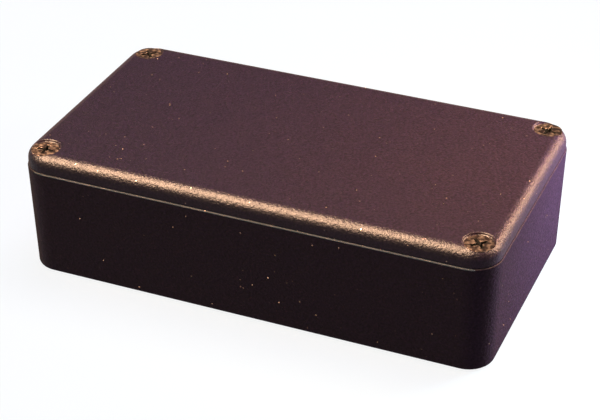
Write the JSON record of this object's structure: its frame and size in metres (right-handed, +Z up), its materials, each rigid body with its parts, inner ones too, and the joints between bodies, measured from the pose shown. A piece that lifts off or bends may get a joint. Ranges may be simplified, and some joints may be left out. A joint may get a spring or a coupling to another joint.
{
  "type": "die cast aluminium box",
  "caption": "Dark powder-coated die cast aluminium box: a drafted tub and a round-edged lid held down by countersunk cross-recess screws in its corners.",
  "frame": {"origin": "middle of the base, on the surface that the box stands on", "axes": "+X along the length, to the right as seen from the front; +Y to the back; +Z up through the lid"},
  "size_m": [0.11, 0.06, 0.03],
  "materials": {
    "powder_coat": "satin fine-grained powder coat, dark bronze-brown, over die cast aluminium",
    "screw_metal": "dark bronzed steel, bright where the edges are worn"
  },
  "bodies": {
    "root": {"box_body": "powder_coat", "lid": "powder_coat", "lid_screw_front_left": "screw_metal", "lid_screw_front_right": "screw_metal", "lid_screw_back_left": "screw_metal", "lid_screw_back_right": "screw_metal"}
  },
  "joints": []
}
